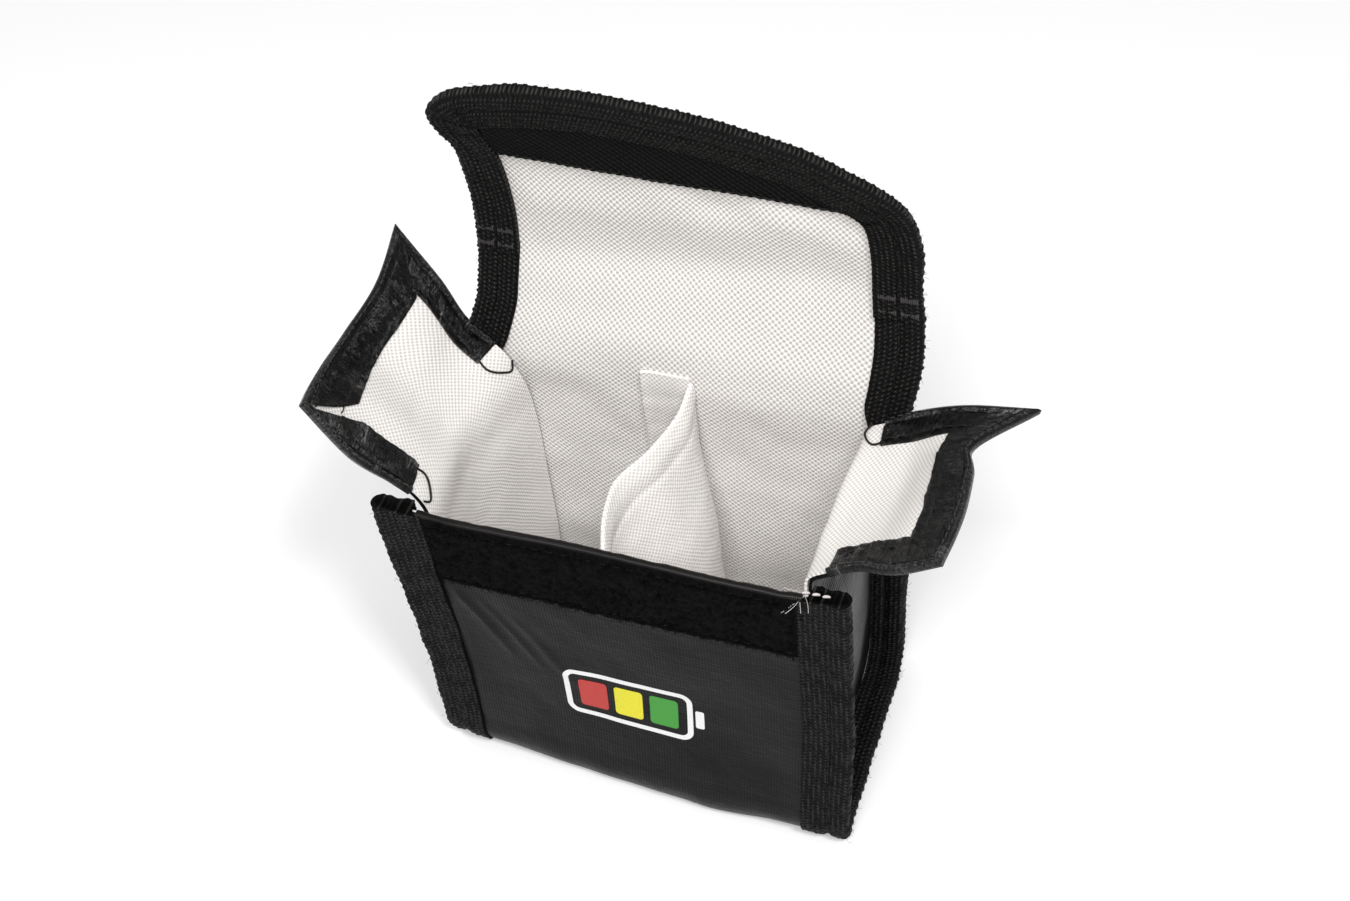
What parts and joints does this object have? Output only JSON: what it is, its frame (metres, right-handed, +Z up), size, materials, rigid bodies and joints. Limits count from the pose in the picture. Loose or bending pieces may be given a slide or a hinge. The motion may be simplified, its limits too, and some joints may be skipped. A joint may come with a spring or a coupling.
{
  "type": "lithium battery safe bag",
  "caption": "Fire-resistant black cloth pouch with a white lining, a sewn divider, tuck-in side ears and a fold-over lid with a hook-and-loop closure.",
  "frame": {"origin": "middle of the flat base, on the outside face of the base cloth", "axes": "+X to the bag's right seen from the front, +Y to the back (lid side), +Z up out of the mouth"},
  "size_m": [0.1375, 0.0583, 0.1594],
  "materials": {
    "coated_cloth": "black PVC-coated ripstop cloth, semi-gloss",
    "glass_cloth": "white glass-fibre plain weave",
    "binding_tape": "black ribbed polypropylene tape",
    "ear_hem_cloth": "glossy black coated cloth, wrinkled",
    "loop_pile": "black loop pile",
    "hook_tape": "black moulded hook tape",
    "thread_black": "black polyester thread",
    "hem_gold": "brown-black folded hem",
    "ink_white": "white screen print",
    "ink_red": "red screen print",
    "ink_yellow": "yellow screen print",
    "ink_green": "green screen print"
  },
  "bodies": {
    "bag": {"outer_shell": "coated_cloth", "lining_shell": "glass_cloth", "left_gusset_outer": "coated_cloth", "right_gusset_outer": "coated_cloth", "left_gusset_lining": "glass_cloth", "right_gusset_lining": "glass_cloth", "divider": "glass_cloth", "left_side_binding": "binding_tape", "right_side_binding": "binding_tape", "left_binding_thread": "thread_black", "right_binding_thread": "thread_black", "front_loop_strip": "loop_pile", "loop_strip_thread": "thread_black", "front_mouth_hem": "hem_gold", "mouth_hem_thread": "thread_black", "print_white": "ink_white", "print_red": "ink_red", "print_yellow": "ink_yellow", "print_green": "ink_green"},
    "lid": {"lid_outer": "coated_cloth", "lid_lining": "glass_cloth", "lid_binding_left": "binding_tape", "lid_binding_right": "binding_tape", "lid_binding_thread": "thread_black", "tape_bar_tacks": "thread_black", "hook_strip_lid_part": "hook_tape", "hook_strip_thread": "thread_black"},
    "tongue": {"tongue_outer": "coated_cloth", "tongue_lining": "glass_cloth", "tongue_binding": "binding_tape", "tongue_binding_thread": "thread_black", "hook_strip_tongue_part": "hook_tape"},
    "left_ear": {"left_ear_outer": "coated_cloth", "left_ear_lining": "glass_cloth", "left_ear_hem": "ear_hem_cloth", "left_ear_thread": "thread_black"},
    "right_ear": {"right_ear_outer": "coated_cloth", "right_ear_lining": "glass_cloth", "right_ear_hem": "ear_hem_cloth", "right_ear_thread": "thread_black"}
  },
  "joints": [
    {"name": "lid_fold", "type": "hinge", "parent": "bag", "child": "lid", "pos_m": [0, 0.02325, 0.08875], "axis": [1, 0, 0], "range_deg": [-100, 98.5]},
    {"name": "tongue_fold", "type": "hinge", "parent": "lid", "child": "tongue", "pos_m": [0, 0.03094, 0.14018], "axis": [1, 0, 0], "range_deg": [-40, 62]},
    {"name": "left_ear_fold", "type": "hinge", "parent": "bag", "child": "left_ear", "pos_m": [-0.048, 0, 0.0826], "axis": [0, 1, 0], "range_deg": [-100, 115.5]},
    {"name": "right_ear_fold", "type": "hinge", "parent": "bag", "child": "right_ear", "pos_m": [0.048, 0, 0.0826], "axis": [0, -1, 0], "range_deg": [-76, 140]}
  ]
}
